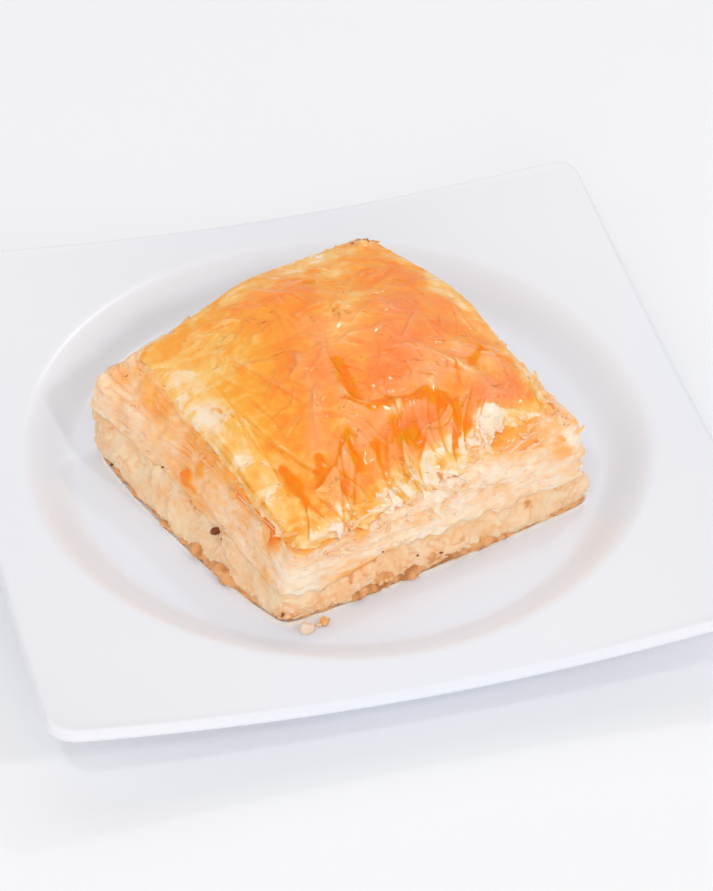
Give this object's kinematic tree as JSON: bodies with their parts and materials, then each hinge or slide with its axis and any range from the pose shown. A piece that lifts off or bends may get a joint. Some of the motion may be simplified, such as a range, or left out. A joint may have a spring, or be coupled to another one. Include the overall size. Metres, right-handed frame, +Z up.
{
  "type": "plate of custard borek",
  "caption": "Square white porcelain plate with a round well, holding a square piece of layered custard pastry with a browned base and a glazed, wrinkled top.",
  "frame": {"origin": "centre of the plate, at the table", "axes": "+Z up, +X and +Y along the plate's sides, with -Y the side nearest to the viewer"},
  "size_m": [0.2224, 0.2224, 0.0548],
  "materials": {
    "porcelain": "glossy white glaze",
    "browned_pastry": "baked, soaked with syrup",
    "custard": "soft and moist",
    "glazed_pastry": "flaky sheets with a syrup glaze"
  },
  "bodies": {
    "root": {"plate": "porcelain", "pastry_base": "browned_pastry", "custard": "custard", "pastry_sheets": "glazed_pastry"}
  },
  "joints": []
}
